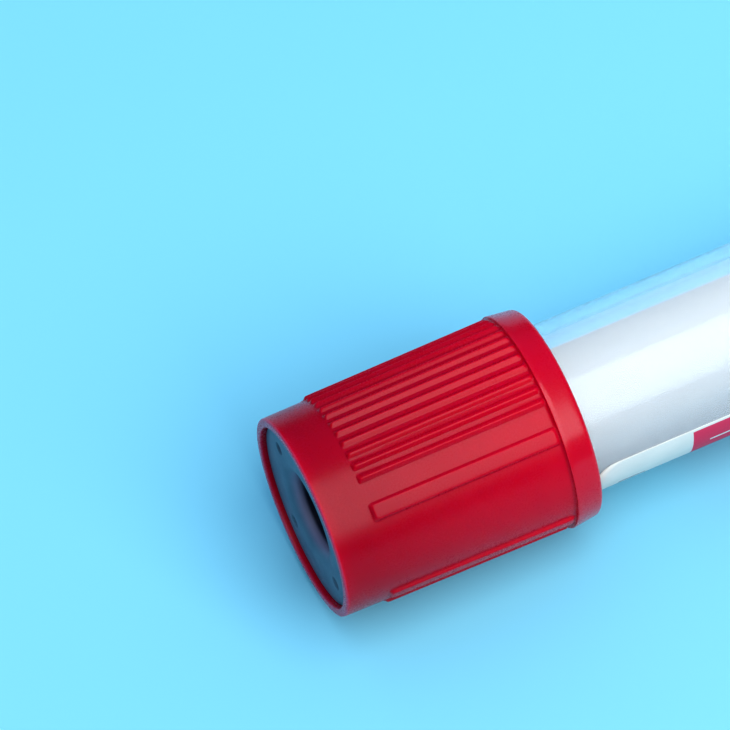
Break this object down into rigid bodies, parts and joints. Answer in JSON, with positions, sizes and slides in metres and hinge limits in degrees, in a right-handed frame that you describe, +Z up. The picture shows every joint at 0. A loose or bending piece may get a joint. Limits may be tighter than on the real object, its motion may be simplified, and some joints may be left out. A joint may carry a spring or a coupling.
{
  "type": "blood collection tube",
  "caption": "Clear round-bottomed sample tube lying on its side, closed by a rubber stopper in a ribbed red safety shield, with a plain wrap label.",
  "frame": {"origin": "on the surface that the tube lies on, under the middle of its bounding box", "axes": "+Z up; +X along the tube from the stoppered end to the round bottom, in plan; the tube's axis leans 1.95 degrees down towards +X"},
  "size_m": [0.0808, 0.0166, 0.017],
  "materials": {
    "clear_wall": "clear and polished",
    "label_film": "satin white film with a plain red field",
    "red_plastic": "satin moulded red",
    "stopper_rubber": "dull dark blue-grey"
  },
  "bodies": {
    "tube_body": {"tube": "clear_wall", "label": "label_film"},
    "closure": {"shield": "red_plastic", "stopper": "stopper_rubber"}
  },
  "joints": [
    {"name": "closure_pull", "type": "slide", "parent": "tube_body", "child": "closure", "axis": [-0.9994, 0, 0.034], "range_m": [0, 0.018]}
  ]
}
